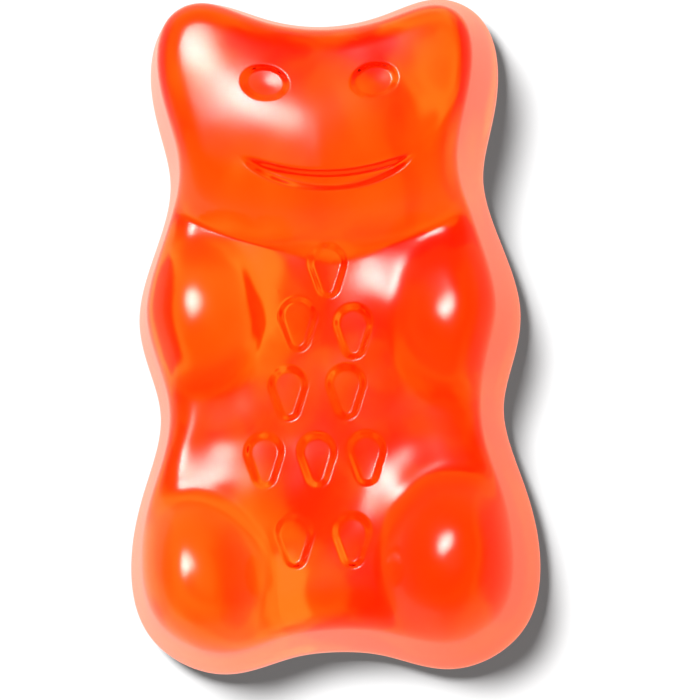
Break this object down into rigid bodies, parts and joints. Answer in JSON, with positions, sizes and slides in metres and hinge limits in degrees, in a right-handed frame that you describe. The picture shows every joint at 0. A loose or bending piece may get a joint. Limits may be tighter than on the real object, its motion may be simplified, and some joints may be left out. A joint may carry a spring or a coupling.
{
  "type": "gummy bear",
  "caption": "Moulded fruit-gel bear sweet with a pillow head, pressed eyes and smile, round arms and legs, and drop-shaped fur marks down a flat-backed body.",
  "frame": {"origin": "centre of the outline on the plane of the flat back, which is what the bear lies on", "axes": "+Z out of the front, away from the back; +Y from the feet towards the ears; +X to the bear's left side, on the right of a viewer looking at its face"},
  "size_m": [0.0134, 0.022, 0.009],
  "materials": {
    "fruit_gel": "clear orange-red fruit gel with an oiled, glossy skin"
  },
  "bodies": {
    "root": {"gummy_bear": "fruit_gel"}
  },
  "joints": []
}
